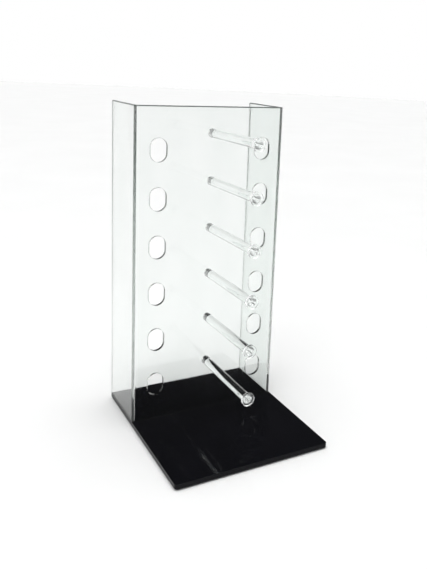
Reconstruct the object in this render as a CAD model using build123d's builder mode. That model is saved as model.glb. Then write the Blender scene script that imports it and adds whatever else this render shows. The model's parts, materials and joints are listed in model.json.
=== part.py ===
"""Countertop eyeglass display rack.

A clear acrylic sheet, bent along two vertical lines into a U seen from above, stands on a black
acrylic base plate.  Its front panel has two columns of upright temple slots with round ends.
Between the columns, a clear nose rod stands out of the panel at every level and carries a clear
stop disc at its free end.  A pair of glasses rests its bridge on the rod, with its temples in the
slots.

Millimetres.  +Z is up, +Y is to the back and the display side faces -Y.  The origin is on the
counter, under the centre of the base plate.
"""
import os

from build123d import *

# ---- driving dimensions -------------------------------------------------------------------
BASE_WIDTH = 200.0            # along X, also the width over the upright's two wings
BASE_DEPTH = 235.0            # along Y
BASE_THICKNESS = 6.0
BASE_CORNER_RADIUS = 4.0      # the plate's two front corners, seen from above
BASE_EDGE_CHAMFER = 0.4       # scraped arris round both faces of the plate

FOOT_DIAMETER = 10.0
FOOT_HEIGHT = 1.5
FOOT_EDGE_RADIUS = 0.8
FOOT_INSET = 14.0             # from the plate's edges to a foot's centre

SHEET = 4.0                   # thickness of the bent sheet
UPRIGHT_HEIGHT = 400.0        # above the base plate
WING_DEPTH = 90.0             # panel's front face to the wings' rear edges
BEND_OUTER_RADIUS = 5.0

LEVELS = 6
LEVEL_PITCH = 60.0
LOWEST_SLOTS = 47.0           # middle of the lowest temple slots above the base plate
SLOT_WIDTH = 21.0
SLOT_HEIGHT = 29.0            # over both round ends
SLOT_SPACING = 140.0          # between the two columns

ROD_DIAMETER = 11.0
ROD_LENGTH = 116.0            # panel's front face to the back of the stop disc
ROD_ABOVE_SLOTS = 20.0        # rod's axis above the middle of its level's slots

DISC_DIAMETER = 16.0
DISC_THICKNESS = 4.0
DISC_EDGE_RADIUS = 0.6

# ---- derived places -----------------------------------------------------------------------
plate_bottom = FOOT_HEIGHT
plate_top = plate_bottom + BASE_THICKNESS
back_edge = BASE_DEPTH / 2
panel_front = back_edge - WING_DEPTH
half_width = BASE_WIDTH / 2
slot_heights = [plate_top + LOWEST_SLOTS + LEVEL_PITCH * step for step in reversed(range(LEVELS))]
slots_middle = sum(slot_heights) / LEVELS
foot_x = half_width - FOOT_INSET
foot_y = back_edge - FOOT_INSET

# Local X is the row's X, local Y is its Z, and the plane's normal points to the front (-Y).
PANEL_FACE = Plane.XZ.offset(-panel_front)


def export(part, label):
    """Label a finished piece and write it to its own STEP file."""
    part.label = label
    export_step(part, f"parts/{label}.step")


def base_plate():
    """Black plate that the whole rack stands on, square at the back, where the wings end flush."""
    with BuildPart() as plate:
        with BuildSketch(Plane.XY.offset(plate_bottom)):
            outline = Rectangle(BASE_WIDTH, BASE_DEPTH)
            fillet(outline.vertices().group_by(Axis.Y)[0], radius=BASE_CORNER_RADIUS)
        extrude(amount=BASE_THICKNESS)
        faces = plate.faces().filter_by(Axis.Z)
        chamfer(faces.edges(), length=BASE_EDGE_CHAMFER)
    return plate.part


def upright():
    """Sheet bent round two vertical lines, with two temple slots and a rod's hole at each level."""
    with BuildPart() as sheet:
        with BuildSketch(Plane.XY.offset(plate_top)):
            with BuildLine():
                FilletPolyline(
                    (-half_width, back_edge),
                    (-half_width, panel_front),
                    (half_width, panel_front),
                    (half_width, back_edge),
                    radius=BEND_OUTER_RADIUS,
                )
                offset(amount=SHEET, side=Side.LEFT)
            make_face()
        extrude(amount=UPRIGHT_HEIGHT)
        with BuildSketch(PANEL_FACE):
            with Locations((0, slots_middle)):
                with GridLocations(SLOT_SPACING, LEVEL_PITCH, 2, LEVELS):
                    SlotOverall(SLOT_HEIGHT, SLOT_WIDTH, rotation=90)
            with Locations((0, slots_middle + ROD_ABOVE_SLOTS)):
                with GridLocations(0, LEVEL_PITCH, 1, LEVELS):
                    Circle(ROD_DIAMETER / 2)
        extrude(amount=-SHEET, mode=Mode.SUBTRACT)
    return sheet.part


def nose_rod(height):
    """Rod that carries the bridge of the glasses, cemented in its hole, flush with the rear face."""
    with BuildPart() as rod:
        with BuildSketch(PANEL_FACE.offset(-SHEET)):
            with Locations((0, height)):
                Circle(ROD_DIAMETER / 2)
        extrude(amount=SHEET + ROD_LENGTH)
    return rod.part


def stop_disc(height):
    """Disc cemented on the rod's free end, which keeps the glasses from sliding off."""
    with BuildPart() as disc:
        with BuildSketch(PANEL_FACE.offset(ROD_LENGTH)):
            with Locations((0, height)):
                Circle(DISC_DIAMETER / 2)
        extrude(amount=DISC_THICKNESS)
        fillet(disc.edges().filter_by(GeomType.CIRCLE), radius=DISC_EDGE_RADIUS)
    return disc.part


def foot(x, y):
    """Soft clear bumper stuck under a corner of the plate."""
    with BuildPart() as bumper:
        with BuildSketch(Plane.XY):
            with Locations((x, y)):
                Circle(FOOT_DIAMETER / 2)
        extrude(amount=FOOT_HEIGHT)
        lowest_rim = bumper.edges().filter_by(GeomType.CIRCLE).sort_by(Axis.Z)[0]
        fillet(lowest_rim, radius=FOOT_EDGE_RADIUS)
    return bumper.part


# ---- pieces -------------------------------------------------------------------------------
os.makedirs("parts", exist_ok=True)

export(base_plate(), "base_plate")
export(upright(), "upright_sheet")

# Level 1 is the highest.
for level, slot_height in enumerate(slot_heights, start=1):
    rod_height = slot_height + ROD_ABOVE_SLOTS
    export(nose_rod(rod_height), f"nose_rod_{level}")
    export(stop_disc(rod_height), f"stop_disc_{level}")

for side, x in (("left", -foot_x), ("right", foot_x)):
    for end, y in (("front", -foot_y), ("back", foot_y)):
        export(foot(x, y), f"foot_{end}_{side}")
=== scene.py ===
"""Counter display rack for eyeglasses: a clear acrylic sheet bent to a U on a black acrylic base.

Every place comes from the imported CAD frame, in metres. Each CAD solid is replaced by a finely made
mesh of the same size with rounded, buffed edges, because clear acrylic shows every facet.
"""

import json
import math

import bmesh
import bpy
from mathutils import Matrix, Vector, geometry


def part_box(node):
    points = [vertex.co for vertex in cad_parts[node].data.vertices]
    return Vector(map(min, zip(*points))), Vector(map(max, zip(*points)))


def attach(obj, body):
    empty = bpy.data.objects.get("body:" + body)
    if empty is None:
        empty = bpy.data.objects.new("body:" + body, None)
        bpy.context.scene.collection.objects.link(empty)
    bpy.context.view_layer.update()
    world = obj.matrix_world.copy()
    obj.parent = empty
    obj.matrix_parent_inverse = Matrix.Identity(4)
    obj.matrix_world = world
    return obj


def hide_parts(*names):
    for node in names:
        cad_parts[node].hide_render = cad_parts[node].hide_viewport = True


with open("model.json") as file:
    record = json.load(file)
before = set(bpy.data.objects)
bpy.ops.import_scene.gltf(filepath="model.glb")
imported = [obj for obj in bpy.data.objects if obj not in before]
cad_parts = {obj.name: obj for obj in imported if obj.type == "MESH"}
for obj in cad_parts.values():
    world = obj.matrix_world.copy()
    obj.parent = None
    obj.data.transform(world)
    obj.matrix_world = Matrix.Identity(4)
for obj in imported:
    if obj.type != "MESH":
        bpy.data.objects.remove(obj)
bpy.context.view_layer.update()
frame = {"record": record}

MM = 0.001
ACRYLIC_IOR = 1.49
LEVELS = 6

# The CAD's own roundings.
BEND_RADIUS = 5.0 * MM      # outside of the two heat bends
BASE_CORNER = 4.0 * MM      # the base's two front corners
BASE_EDGE = 0.4 * MM
DISC_EDGE = 0.6 * MM
FOOT_EDGE = 0.8 * MM        # round the foot's lower face

# Roundings that the CAD leaves sharp, and joints finer than it has.
TOP_EDGE = 1.4 * MM         # the upright's saw-cut, buffed outer edges
SLOT_EDGE = 0.2 * MM
BORE_EDGE = 0.1 * MM        # also round the rods' ends
SHEET_CORNER = 1.6 * MM     # the sheet's upper corners, dulled by the buffing
BASE_BACK_CORNER = 0.6 * MM
FOOT_TOP_EDGE = 0.1 * MM
GLUE_GAP = 0.03 * MM        # film of cement between two clear pieces
SEATING = 0.1 * MM          # how far the sheet and the feet bite into the base
FOOT_LINE_EDGE = SEATING / 5  # the sheet's bottom edge is left nearly sharp

# How finely curves are cut.
RIM_STEPS = 4
CORNER_STEPS = 10
BEND_STEPS = 24
TURNED_STEPS = 128
HOLE_STEPS = 96
SAME_PLACE = 1e-9           # points closer than this are one

# Scratches are drawn out to this many times their spacing, where a noise is at this level, give or
# take this much.
SCRATCH_LENGTH = 45
SCRATCH_LEVEL = 0.62
SCRATCH_WIDTH = 0.012


# ---------------------------------------------------------------- plates with polished edges

def arc(centre, radius, start, end, steps):
    """Points of an outline's arc, each with its outward direction, from start to end degrees."""
    found = []
    for k in range(steps + 1):
        a = math.radians(start + (end - start) * k / steps)
        out = Vector((math.cos(a), math.sin(a)))
        found.append((Vector(centre) + out * radius, out))
    return found


def straight(a, b, out, cuts=()):
    """The points between a and b, both left out, where cuts says, with one outward direction."""
    a, b, out = Vector(a), Vector(b), Vector(out)
    return [(a.lerp(b, t), out) for t in cuts]


def rounded_rectangle(x0, y0, x1, y1, corners, x_cuts=(), y_cuts=()):
    """An outline, anticlockwise from the lowest corner. corners are the radii at (x0,y0), (x1,y0),
    (x1,y1) and (x0,y1). x_cuts and y_cuts are places where both opposite sides get a point."""
    a, b, c, d = corners
    along = [(x - x0) / (x1 - x0) for x in x_cuts]
    upwards = [(y - y0) / (y1 - y0) for y in y_cuts]
    outline = arc((x0 + a, y0 + a), a, 180, 270, CORNER_STEPS)
    outline += straight((x0, y0), (x1, y0), (0, -1), along)
    outline += arc((x1 - b, y0 + b), b, 270, 360, CORNER_STEPS)
    outline += straight((x1, y0), (x1, y1), (1, 0), upwards)
    outline += arc((x1 - c, y1 - c), c, 0, 90, CORNER_STEPS)
    outline += straight((x1, y1), (x0, y1), (0, 1), [1 - t for t in reversed(along)])
    outline += arc((x0 + d, y1 - d), d, 90, 180, CORNER_STEPS)
    outline += straight((x0, y1), (x0, y0), (-1, 0), [1 - t for t in reversed(upwards)])
    return outline


def hole(centre, radius, length=None):
    """A round hole's outline, or an upright slot's with round ends. Its outward direction points
    out of the material, into the hole."""
    cx, cy = centre
    half = 0 if length is None else length / 2 - radius
    steps = HOLE_STEPS // 2
    loop = []
    for middle, start in ((cy + half, 0), (cy - half, 180)):
        loop += arc((cx, middle), radius, start, start + 180, steps)
    if not half:
        loop = loop[:steps] + loop[steps + 1 : -1]
    return [(p, -out) for p, out in loop]


def plate(name, loops, thickness, place, chords=()):
    """A plate of even thickness with rounded rims. loops are (outline, rounding, look), the outer
    one first, where rounding and look are functions of a point: the rim's radius and its
    material's number. Material 0 is for the two faces. place(u, v, depth) puts a point, and
    returns it with the unit vectors of u, v and depth there. chords are pairs of outer points
    joined across both faces, where the plate bends."""
    profile = []
    for side in (0, 1):
        for k in range(RIM_STEPS + 1):
            a = math.pi / 2 * (k / RIM_STEPS if side == 0 else 1 - k / RIM_STEPS)
            tilt = -math.cos(a) if side == 0 else math.cos(a)
            profile.append((side, 1 - math.cos(a), 1 - math.sin(a), math.sin(a), tilt))
    verts, normals, faces, materials = [], [], [], []

    def add(u, v, depth, normal_uv, normal_depth):
        at, eu, ev, ed = place(u, v, depth)
        verts.append(at)
        normals.append((eu * normal_uv.x + ev * normal_uv.y + ed * normal_depth).normalized())
        return len(verts) - 1

    rims = []
    for loop, rounding, look in loops:
        rings = []
        for side, down, inset, outward, tilt in profile:
            ring = []
            for p, out in loop:
                r = rounding(p)
                depth = thickness - r * down if side else r * down
                ring.append(add(*(p - out * r * inset), depth, out * outward, tilt))
            rings.append(ring)
        for low, high in zip(rings, rings[1:]):
            for i in range(len(loop)):
                j = (i + 1) % len(loop)
                faces.append((low[i], low[j], high[j], high[i]))
                materials.append(look(loop[i][0]))
        rims.append(rings)

    flat, edges, index = [], [], []
    for (loop, rounding, look), rings in zip(loops, rims):
        first = len(flat)
        for i, (p, out) in enumerate(loop):
            flat.append(p - out * rounding(p))
            edges.append((first + i, first + (i + 1) % len(loop)))
            index.append((rings[0][i], rings[-1][i]))
    edges += list(chords)
    points, _, triangles, origin, _, _ = geometry.delaunay_2d_cdt(flat, edges, [], 1, SAME_PLACE)
    inside = [[p - out * rounding(p) for p, out in loop] for loop, rounding, look in loops[1:]]
    for tri in triangles:
        middle = sum((points[i] for i in tri), Vector((0, 0))) / len(tri)
        if any(within(middle, loop) for loop in inside):
            continue
        a = [index[origin[i][0]][0] for i in tri]
        b = [index[origin[i][0]][1] for i in tri]
        faces.append(tuple(reversed(a)))
        faces.append(tuple(b))
    obj = finished(name, verts, normals, faces)
    materials += [0] * (len(faces) - len(materials))
    obj.data.polygons.foreach_set("material_index", materials)
    return obj


def within(point, loop):
    """True if point lies inside the loop of points."""
    inside = False
    for a, b in zip(loop, loop[1:] + loop[:1]):
        if (a.y > point.y) != (b.y > point.y):
            if point.x < a.x + (point.y - a.y) * (b.x - a.x) / (b.y - a.y):
                inside = not inside
    return inside


# ---------------------------------------------------------------- turned pieces

def rounded_profile(stations):
    """A turned profile with its outer corners rounded. stations are (along, radius, rounding)."""
    found = []
    for k, (along, radius, rounding) in enumerate(stations):
        here = Vector((along, radius))
        if not rounding:
            found.append(here)
            continue
        before = (Vector(stations[k - 1][:2]) - here).normalized()
        after = (Vector(stations[k + 1][:2]) - here).normalized()
        start = here + before * rounding
        centre = start + after * rounding
        for s in range(RIM_STEPS * 2 + 1):
            a = math.pi / 2 * s / (RIM_STEPS * 2)
            found.append(centre - after * rounding * math.cos(a) - before * rounding * math.sin(a))
    return found


def turned(name, profile, start, axis):
    """A solid of revolution. profile is (along, radius) from the first pole to the last, and the
    piece runs from start along axis."""
    start, axis = Vector(start), Vector(axis).normalized()
    side = axis.orthogonal().normalized()
    other = axis.cross(side)
    slopes = []
    for k, here in enumerate(profile):
        a = profile[max(k - 1, 0)]
        b = profile[min(k + 1, len(profile) - 1)]
        run = b - a
        slopes.append(Vector((-run.y, run.x)).normalized())
    verts, normals, faces, rings = [], [], [], []
    for (along, radius), slope in zip(profile, slopes):
        if radius < SAME_PLACE:
            rings.append([len(verts)])
            verts.append(start + axis * along)
            normals.append(axis * math.copysign(1, slope.x))
            continue
        ring = []
        for k in range(TURNED_STEPS):
            a = 2 * math.pi * k / TURNED_STEPS
            out = side * math.cos(a) + other * math.sin(a)
            ring.append(len(verts))
            verts.append(start + axis * along + out * radius)
            normals.append((axis * slope.x + out * slope.y).normalized())
        rings.append(ring)
    for low, high in zip(rings, rings[1:]):
        for i in range(TURNED_STEPS):
            j = (i + 1) % TURNED_STEPS
            if len(low) == 1:
                faces.append((low[0], high[j], high[i]))
            elif len(high) == 1:
                faces.append((low[i], low[j], high[0]))
            else:
                faces.append((low[i], low[j], high[j], high[i]))
    return finished(name, verts, normals, faces)


def finished(name, verts, normals, faces):
    """A mesh object with smooth shading and its exact normals, its faces turned outwards."""
    mesh = bpy.data.meshes.new(name)
    mesh.from_pydata(verts, [], faces)
    work = bmesh.new()
    work.from_mesh(mesh)
    bmesh.ops.recalc_face_normals(work, faces=work.faces)
    work.to_mesh(mesh)
    work.free()
    mesh.polygons.foreach_set("use_smooth", [True] * len(mesh.polygons))
    mesh.normals_split_custom_set_from_vertices([tuple(n) for n in normals])
    mesh.validate()
    obj = bpy.data.objects.new(name, mesh)
    bpy.context.scene.collection.objects.link(obj)
    return obj


# ---------------------------------------------------------------- materials

class Nodes:
    """Builds one material's node tree. Coordinates are the object's own, in metres."""

    def __init__(self, name):
        self.material = bpy.data.materials.new(name)
        self.material.use_nodes = True
        self.tree = self.material.node_tree
        self.tree.nodes.clear()
        self.output = self.tree.nodes.new("ShaderNodeOutputMaterial")
        self.shader = self.tree.nodes.new("ShaderNodeBsdfPrincipled")
        self.tree.links.new(self.shader.outputs[0], self.output.inputs["Surface"])
        self.coords = self.tree.nodes.new("ShaderNodeTexCoord").outputs["Object"]

    def link(self, a, b):
        self.tree.links.new(a, b)

    def moved(self, scale, turn=(0, 0, 0)):
        """The coordinates stretched and turned, in degrees."""
        node = self.tree.nodes.new("ShaderNodeMapping")
        node.inputs["Scale"].default_value = scale
        node.inputs["Rotation"].default_value = [math.radians(a) for a in turn]
        self.link(self.coords, node.inputs["Vector"])
        return node.outputs["Vector"]

    def noise(self, scale, detail, roughness, vector=None):
        node = self.tree.nodes.new("ShaderNodeTexNoise")
        node.inputs["Scale"].default_value = scale
        node.inputs["Detail"].default_value = detail
        node.inputs["Roughness"].default_value = roughness
        self.link(vector or self.coords, node.inputs["Vector"])
        return node.outputs[0]

    def cells(self, scale):
        node = self.tree.nodes.new("ShaderNodeTexVoronoi")
        node.inputs["Scale"].default_value = scale
        self.link(self.coords, node.inputs["Vector"])
        return node.outputs["Distance"]

    def span(self, value, low, high, to_low=0.0, to_high=1.0):
        """value between low and high, taken to between to_low and to_high, and held there."""
        node = self.tree.nodes.new("ShaderNodeMapRange")
        for socket, number in zip(node.inputs[1:5], (low, high, to_low, to_high)):
            socket.default_value = number
        self.link(value, node.inputs[0])
        return node.outputs[0]

    def math(self, kind, a, b):
        node = self.tree.nodes.new("ShaderNodeMath")
        node.operation = kind
        for socket, value in zip(node.inputs, (a, b)):
            if isinstance(value, (int, float)):
                socket.default_value = value
            else:
                self.link(value, socket)
        return node.outputs[0]

    def ramp(self, value, *stops):
        node = self.tree.nodes.new("ShaderNodeValToRGB")
        ramp = node.color_ramp
        while len(ramp.elements) < len(stops):
            ramp.elements.new(0.5)
        for element, (at, colour) in zip(ramp.elements, stops):
            element.position = at
            element.color = (*colour, 1)
        self.link(value, node.inputs[0])
        return node.outputs["Color"]

    def bumps(self, *layers):
        """layers are (height, distance in metres, strength), the first one undermost."""
        last = None
        for height, distance, strength in layers:
            node = self.tree.nodes.new("ShaderNodeBump")
            node.inputs["Distance"].default_value = distance
            node.inputs["Strength"].default_value = strength
            self.link(height, node.inputs["Height"])
            if last is not None:
                self.link(last, node.inputs["Normal"])
            last = node.outputs["Normal"]
        self.link(last, self.shader.inputs["Normal"])

    def hairlines(self, spacing, turn):
        """Sparse straight scratches, 1 on a scratch: noise drawn out along one direction."""
        drawn = self.moved((1 / spacing, 1 / (spacing * SCRATCH_LENGTH), 1 / spacing), turn)
        lines = self.noise(1.0, 1.0, 0.4, drawn)
        off = self.math("ABSOLUTE", self.math("SUBTRACT", lines, SCRATCH_LEVEL), 0)
        return self.span(off, 0, SCRATCH_WIDTH, 1, 0)

    def set(self, **values):
        for name, value in values.items():
            self.shader.inputs[name.replace("_", " ")].default_value = value

    def colour(self, value):
        self.link(value, self.shader.inputs["Base Color"])

    def roughness(self, value):
        self.link(value, self.shader.inputs["Roughness"])


def tint(m, density):
    """The faint green-grey that clear acrylic takes on along a deep path."""
    depth = m.tree.nodes.new("ShaderNodeVolumeAbsorption")
    depth.inputs["Color"].default_value = (0.78, 0.82, 0.80, 1)
    depth.inputs["Density"].default_value = density
    m.link(depth.outputs[0], m.output.inputs["Volume"])


def clear_acrylic(name, deep, pale, tint_depth, smudge, waviness, scratches):
    """Polished clear acrylic: a faint green-grey in depth, soft wipe marks in its roughness, the
    slow waviness of cast sheet or drawn rod, and hairline scratches from cleaning. deep and pale
    are the ends of its surface's colour."""
    m = Nodes(name)
    m.set(IOR=ACRYLIC_IOR, Transmission_Weight=1.0)
    wipes = m.noise(26, 4, 0.6, m.moved((1, 1, 0.35), (0, 24, 0)))
    m.colour(m.ramp(wipes, (0.3, deep), (0.7, pale)))
    marks = m.math("MAXIMUM", m.hairlines(0.004, (0, 63, 8)), m.hairlines(0.006, (11, -38, 0)))
    wiped = m.span(wipes, 0.42, 0.75, 0.0, smudge)
    m.roughness(m.math("ADD", wiped, m.math("MULTIPLY", marks, smudge)))
    m.bumps(
        (m.noise(14, 1, 0.4), 0.0006, waviness),
        (marks, 0.00002, scratches),
    )
    tint(m, tint_depth)
    return m.material


def cut_edge(name, tint_depth, dark, light, satin, tool_marks):
    """A cut edge of the clear sheet, buffed: fine tool marks across its thickness, a patchy satin
    and a greyer colour than the faces. dark and light are its greys, satin its roughness. The dark
    greys given to the top edge and to the slot and bore walls are painted shade: they stand in for
    the dark room and the black base that these edges reflect inside the sheet."""
    m = Nodes(name)
    m.set(IOR=ACRYLIC_IOR, Transmission_Weight=1.0)
    marks = m.noise(1.0, 3, 0.6, m.moved((1400, 60, 1400)))
    patches = m.noise(45, 3, 0.55)
    shades = [(grey, grey * 1.02, grey * 1.01) for grey in (dark, light)]
    m.colour(m.ramp(patches, (0.3, shades[0]), (0.7, shades[1])))
    m.roughness(m.span(patches, 0.3, 0.7, satin * 0.6, satin))
    m.bumps((marks, 0.00002, tool_marks))
    tint(m, tint_depth)
    return m.material


def black_acrylic(name, specular):
    """Polished black acrylic: dust, wipe marks, fine swirls and a slow unevenness in its gloss."""
    m = Nodes(name)
    m.set(IOR=ACRYLIC_IOR, Specular_IOR_Level=specular)
    cloud = m.noise(9, 4, 0.6)
    grain = m.noise(900, 2, 0.6)
    dust = m.span(m.cells(260), 0.05, 0.09, 1, 0)
    sparse = m.span(m.noise(34, 2, 0.5), 0.55, 0.7)
    specks = m.math("MULTIPLY", dust, sparse)
    shade = m.math("ADD", m.math("MULTIPLY", cloud, 0.6), m.math("MULTIPLY", specks, 0.5))
    m.colour(m.ramp(
        shade,
        (0.15, (0.0022, 0.0022, 0.0032)),
        (0.5, (0.0042, 0.0042, 0.0062)),
        (0.95, (0.03, 0.03, 0.034)),
    ))
    swirls = m.math("MAXIMUM", m.hairlines(0.003, (0, 0, 31)), m.hairlines(0.005, (0, 0, -52)))
    gloss = m.span(m.noise(22, 5, 0.65, m.moved((1, 0.4, 1), (0, 0, 18))), 0.35, 0.75, 0.03, 0.11)
    clean = m.math("ADD", gloss, m.math("MULTIPLY", swirls, 0.02))
    m.roughness(m.math("ADD", clean, m.math("MULTIPLY", specks, 0.3)))
    m.bumps(
        (m.noise(11, 1, 0.4), 0.0005, 0.05),
        (grain, 0.000004, 0.3),
        (swirls, 0.00001, 0.05),
    )
    return m.material


def soft_bumper(name):
    """Clear soft polyurethane with a satin skin and a slight yellowing."""
    m = Nodes(name)
    m.set(IOR=1.47, Transmission_Weight=0.75)
    patches = m.noise(160, 3, 0.6)
    m.colour(m.ramp(patches, (0.3, (0.80, 0.81, 0.79)), (0.7, (0.90, 0.91, 0.90))))
    m.roughness(m.span(m.noise(700, 3, 0.6), 0.3, 0.7, 0.22, 0.36))
    m.bumps((m.noise(420, 3, 0.6), 0.00003, 0.4))
    return m.material


def pale_floor(name):
    """Matt off-white sweep of painted board, nearly even."""
    m = Nodes(name)
    patches = m.noise(3.0, 3, 0.5)
    m.colour(m.ramp(patches, (0.3, (0.800, 0.803, 0.801)), (0.7, (0.820, 0.823, 0.821))))
    m.roughness(m.span(m.noise(240, 3, 0.6), 0.3, 0.7, 0.62, 0.78))
    m.bumps((m.noise(900, 2, 0.6), 0.00002, 0.3))
    return m.material


SHEET_TINT = 3.0            # absorption per metre
ROD_TINT = 5.0
# The top edge's dark grey (0.20 to 0.30) is painted shade, standing in for the dark room reflected
# inside the sheet's top edge.
shaded_top_edge_look = cut_edge("clear_top_edge_painted_shade", SHEET_TINT, 0.20, 0.30, satin=0.24, tool_marks=0.35)
end_look = cut_edge("clear_end_edge", SHEET_TINT, 0.70, 0.84, satin=0.16, tool_marks=0.30)
# The slot and bore walls' dark grey (0.22 to 0.34) is painted shade, standing in for the black
# base's darkness that the sheet guides into these walls.
shaded_slot_edge_look = cut_edge("clear_slot_edge_painted_shade", SHEET_TINT, 0.22, 0.34, satin=0.05, tool_marks=0.15)
sheet_look = clear_acrylic(
    "clear_sheet", (0.885, 0.915, 0.900), (0.930, 0.950, 0.940),
    tint_depth=SHEET_TINT, smudge=0.035, waviness=0.03, scratches=0.3,
)
rod_look = clear_acrylic(
    "clear_rod", (0.965, 0.978, 0.972), (0.990, 0.995, 0.993),
    tint_depth=ROD_TINT, smudge=0.02, waviness=0.05, scratches=0.3,
)
base_look = black_acrylic("black_acrylic", 0.18)
base_edge_look = black_acrylic("black_acrylic_edge", 0.12)
foot_look = soft_bumper("clear_bumper")


def keep(obj, looks, slot, *nodes):
    """obj takes its materials, rides with the rack and stands for those CAD nodes."""
    for look in looks:
        obj.data.materials.append(look)
    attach(obj, "root")
    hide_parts(*nodes)
    return obj


# ---------------------------------------------------------------- base

low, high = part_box("base_plate")
base_top = high.z


def place_base(u, v, depth):
    return Vector((u, v, low.z + depth)), Vector((1, 0, 0)), Vector((0, 1, 0)), Vector((0, 0, 1))


base_outline = rounded_rectangle(
    low.x, low.y, high.x, high.y,
    (BASE_CORNER, BASE_CORNER, BASE_BACK_CORNER, BASE_BACK_CORNER),
)
keep(
    plate("base", [(base_outline, lambda p: BASE_EDGE, lambda p: 1)], high.z - low.z, place_base),
    (base_look, base_edge_look), "black_acrylic", "base_plate",
)


# ---------------------------------------------------------------- bent sheet

low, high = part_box("upright_sheet")
rod_low, rod_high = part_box("nose_rod_1")
thickness = rod_high.y - low.y  # the rods end flush with the panel's rear face
half_width = (high.x - low.x) / 2
panel_half = half_width - BEND_RADIUS
wing = high.y - low.y - BEND_RADIUS
bend = math.pi / 2 * BEND_RADIUS
panel_start = wing + bend
sheet_length = 2 * (panel_start + panel_half)


def place_sheet(u, v, depth):
    """The flat blank's point (u, v) at a depth below its outer face, once the blank is bent. u
    runs from the left wing's rear edge round to the right wing's."""
    mirrored = u > sheet_length / 2
    s = sheet_length - u if mirrored else u
    if s <= wing:
        at = Vector((-half_width, high.y - s, v))
        out, along = Vector((-1, 0, 0)), Vector((0, -1, 0))
    elif s < panel_start:
        a = (s - wing) / BEND_RADIUS
        out = Vector((-math.cos(a), -math.sin(a), 0))
        along = Vector((math.sin(a), -math.cos(a), 0))
        at = Vector((-panel_half, low.y + BEND_RADIUS, v)) + out * BEND_RADIUS
    else:
        at = Vector((-panel_half + s - panel_start, low.y, v))
        out, along = Vector((0, -1, 0)), Vector((1, 0, 0))
    at = at - out * depth
    if mirrored:
        at.x, out.x, along.y = -at.x, -out.x, -along.y
    return at, along, Vector((0, 0, 1)), -out


bend_cuts = [wing + bend * k / BEND_STEPS for k in range(BEND_STEPS + 1)]
bend_cuts += [sheet_length - u for u in reversed(bend_cuts)]
foot_line = base_top + 2 * SEATING
sheet_outline = rounded_rectangle(
    0, base_top - SEATING, sheet_length, high.z, (SEATING, SEATING, SHEET_CORNER, SHEET_CORNER),
    bend_cuts, [foot_line, foot_line + TOP_EDGE],
)


def long_side(direction):
    """The outline's points along its lower (-1) or upper (1) side: where they are, by place."""
    return {
        round(p.x, 7): i
        for i, (p, out) in enumerate(sheet_outline)
        if out.y == direction and out.x == 0
    }


upper = long_side(1)
chords = [(i, upper[place]) for place, i in long_side(-1).items() if place in upper]

loops = [(
    sheet_outline,
    lambda p: TOP_EDGE if p.y > foot_line + SEATING else FOOT_LINE_EDGE,
    lambda p: 1 if p.y > high.z - SHEET_CORNER / 2 else 3,
)]
for mount in frame["record"]["mounts"]:
    x, y, z = mount["pos_m"]
    if mount["name"].startswith("temple_slot"):
        size = mount["dims"]
        outline = hole(
            (panel_start + panel_half + x, z), size["r_mm"] * MM, size["slot_length_mm"] * MM
        )
        loops.append((outline, lambda p: SLOT_EDGE, lambda p: 2))
for level in range(1, LEVELS + 1):
    rod_low, rod_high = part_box(f"nose_rod_{level}")
    bore = (rod_high.x - rod_low.x) / 2 + GLUE_GAP
    at = (panel_start + panel_half, (rod_low.z + rod_high.z) / 2)
    loops.append((hole(at, bore), lambda p: BORE_EDGE, lambda p: 2))
keep(
    plate("upright", loops, thickness, place_sheet, chords),
    (sheet_look, shaded_top_edge_look, shaded_slot_edge_look, end_look), "clear_sheet", "upright_sheet",
)


# ---------------------------------------------------------------- rods, discs and feet

for level in range(1, LEVELS + 1):
    low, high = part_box(f"nose_rod_{level}")
    radius = (high.x - low.x) / 2
    length = high.y - low.y
    axis_z = (low.z + high.z) / 2
    rod = rounded_profile([
        (0, 0, 0),
        (0, radius, BORE_EDGE),
        (length - GLUE_GAP, radius, BORE_EDGE),
        (length - GLUE_GAP, 0, 0),
    ])
    keep(
        turned(f"rod_{level}", rod, (0, high.y, axis_z), (0, -1, 0)),
        (rod_look,), "clear_rod", f"nose_rod_{level}",
    )
    low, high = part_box(f"stop_disc_{level}")
    radius = (high.x - low.x) / 2
    disc = rounded_profile([
        (0, 0, 0),
        (0, radius, DISC_EDGE),
        (high.y - low.y, radius, DISC_EDGE),
        (high.y - low.y, 0, 0),
    ])
    keep(
        turned(f"disc_{level}", disc, (0, high.y, axis_z), (0, -1, 0)),
        (rod_look,), "clear_rod", f"stop_disc_{level}",
    )

for corner in ("front_left", "front_right", "back_left", "back_right"):
    low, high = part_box(f"foot_{corner}")
    radius = (high.x - low.x) / 2
    height = high.z - low.z + SEATING
    foot = rounded_profile([
        (0, 0, 0),
        (0, radius, FOOT_EDGE),
        (height, radius, FOOT_TOP_EDGE),
        (height, 0, 0),
    ])
    middle = ((low.x + high.x) / 2, (low.y + high.y) / 2, low.z)
    keep(
        turned(f"bumper_{corner}", foot, middle, (0, 0, 1)),
        (foot_look,), "clear_bumper", f"foot_{corner}",
    )


# ---------------------------------------------------------------- studio

def disc_floor(name, radius, rings, spokes):
    """A flat round floor, finer towards its middle."""
    verts, faces = [(0, 0, 0)], []
    for r in range(1, rings + 1):
        for s in range(spokes):
            a = 2 * math.pi * s / spokes
            reach = radius * (r / rings) ** 2
            verts.append((reach * math.cos(a), reach * math.sin(a), 0))
    for s in range(spokes):
        faces.append((0, 1 + s, 1 + (s + 1) % spokes))
    for r in range(rings - 1):
        for s in range(spokes):
            a, b = 1 + r * spokes + s, 1 + r * spokes + (s + 1) % spokes
            faces.append((a, a + spokes, b + spokes, b))
    mesh = bpy.data.meshes.new(name)
    mesh.from_pydata(verts, [], faces)
    obj = bpy.data.objects.new(name, mesh)
    bpy.context.scene.collection.objects.link(obj)
    return obj


floor = disc_floor("studio_floor", radius=12.0, rings=24, spokes=96)
floor.data.materials.append(pale_floor("studio_floor"))

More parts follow.
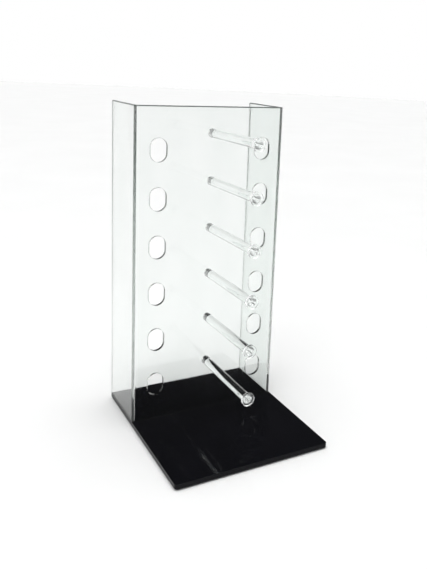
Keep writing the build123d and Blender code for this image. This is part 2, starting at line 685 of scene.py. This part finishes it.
world = bpy.data.worlds.new("studio")
bpy.context.scene.world = world
world.use_nodes = True
tree = world.node_tree
tree.nodes.clear()
direction = tree.nodes.new("ShaderNodeTexCoord").outputs["Generated"]
parts = tree.nodes.new("ShaderNodeSeparateXYZ")
tree.links.new(direction, parts.inputs[0])
ramp = tree.nodes.new("ShaderNodeValToRGB")
tree.links.new(parts.outputs["Z"], ramp.inputs[0])
# White round the horizon, a dim band that the base mirrors, and a bright ceiling. Places are the
# sine of the elevation.
WHITE, DIM, CEILING = 1.0, 0.07, 3.0
stops = ((0.0, WHITE), (0.33, WHITE), (0.44, DIM), (0.76, DIM), (0.86, CEILING), (1.0, CEILING))
while len(ramp.color_ramp.elements) < len(stops):
    ramp.color_ramp.elements.new(0.5)
for element, (at, level) in zip(ramp.color_ramp.elements, stops):
    element.position = at
    grey = level / CEILING
    element.color = (grey, grey, grey, 1)
sky = tree.nodes.new("ShaderNodeBackground")
tree.links.new(ramp.outputs["Color"], sky.inputs["Color"])
sky.inputs["Strength"].default_value = CEILING
tree.links.new(sky.outputs[0], tree.nodes.new("ShaderNodeOutputWorld").inputs["Surface"])


def softbox(name, at, aim, size, power):
    """A rectangular area light in metres and watts, at a place and turned towards aim."""
    data = bpy.data.lights.new(name, "AREA")
    data.shape, data.size, data.size_y = "RECTANGLE", size[0], size[1]
    data.energy = power
    lamp = bpy.data.objects.new(name, data)
    lamp.location = at
    lamp.rotation_euler = (Vector(aim) - Vector(at)).to_track_quat("-Z", "Y").to_euler()
    bpy.context.scene.collection.objects.link(lamp)


softbox("key", at=(-1.5, -1.2, 2.3), aim=(0, 0, 0.2), size=(0.9, 0.5), power=10)

# Light that enters the clear pieces is reflected inside them many times before it leaves.
BOUNCES = 96
cycles = bpy.context.scene.cycles
cycles.max_bounces = BOUNCES
cycles.transmission_bounces = BOUNCES
cycles.glossy_bounces = BOUNCES

bpy.context.scene.view_settings.view_transform = "Standard"
bpy.context.scene.view_settings.look = "None"

# ---------------------------------------------------------------- camera

CAMERA_AT = (-0.3541, -0.7287, 0.4566)
HEADING = 30.625            # degrees to the right of straight at the panel
PITCH = -11.459
ROLL = -2.897
FOCAL_SHARE = 673.67 / 570  # focal length over the picture's long side
SHIFT = (-0.1079, -0.1404)
SENSOR = 36                 # mm

heading, pitch = math.radians(HEADING), math.radians(PITCH)
ahead = Vector((
    math.sin(heading) * math.cos(pitch), math.cos(heading) * math.cos(pitch), math.sin(pitch)
))
right = ahead.cross(Vector((0, 0, 1))).normalized()
right = Matrix.Rotation(math.radians(ROLL), 3, ahead) @ right
up = right.cross(ahead)
lens = bpy.data.cameras.new("camera")
lens.sensor_width = SENSOR
lens.lens = FOCAL_SHARE * SENSOR
lens.shift_x, lens.shift_y = SHIFT
camera = bpy.data.objects.new("camera", lens)
turn = Matrix((right, up, -ahead)).transposed().to_4x4()
camera.matrix_world = Matrix.Translation(CAMERA_AT) @ turn
bpy.context.scene.collection.objects.link(camera)
bpy.context.scene.camera = camera
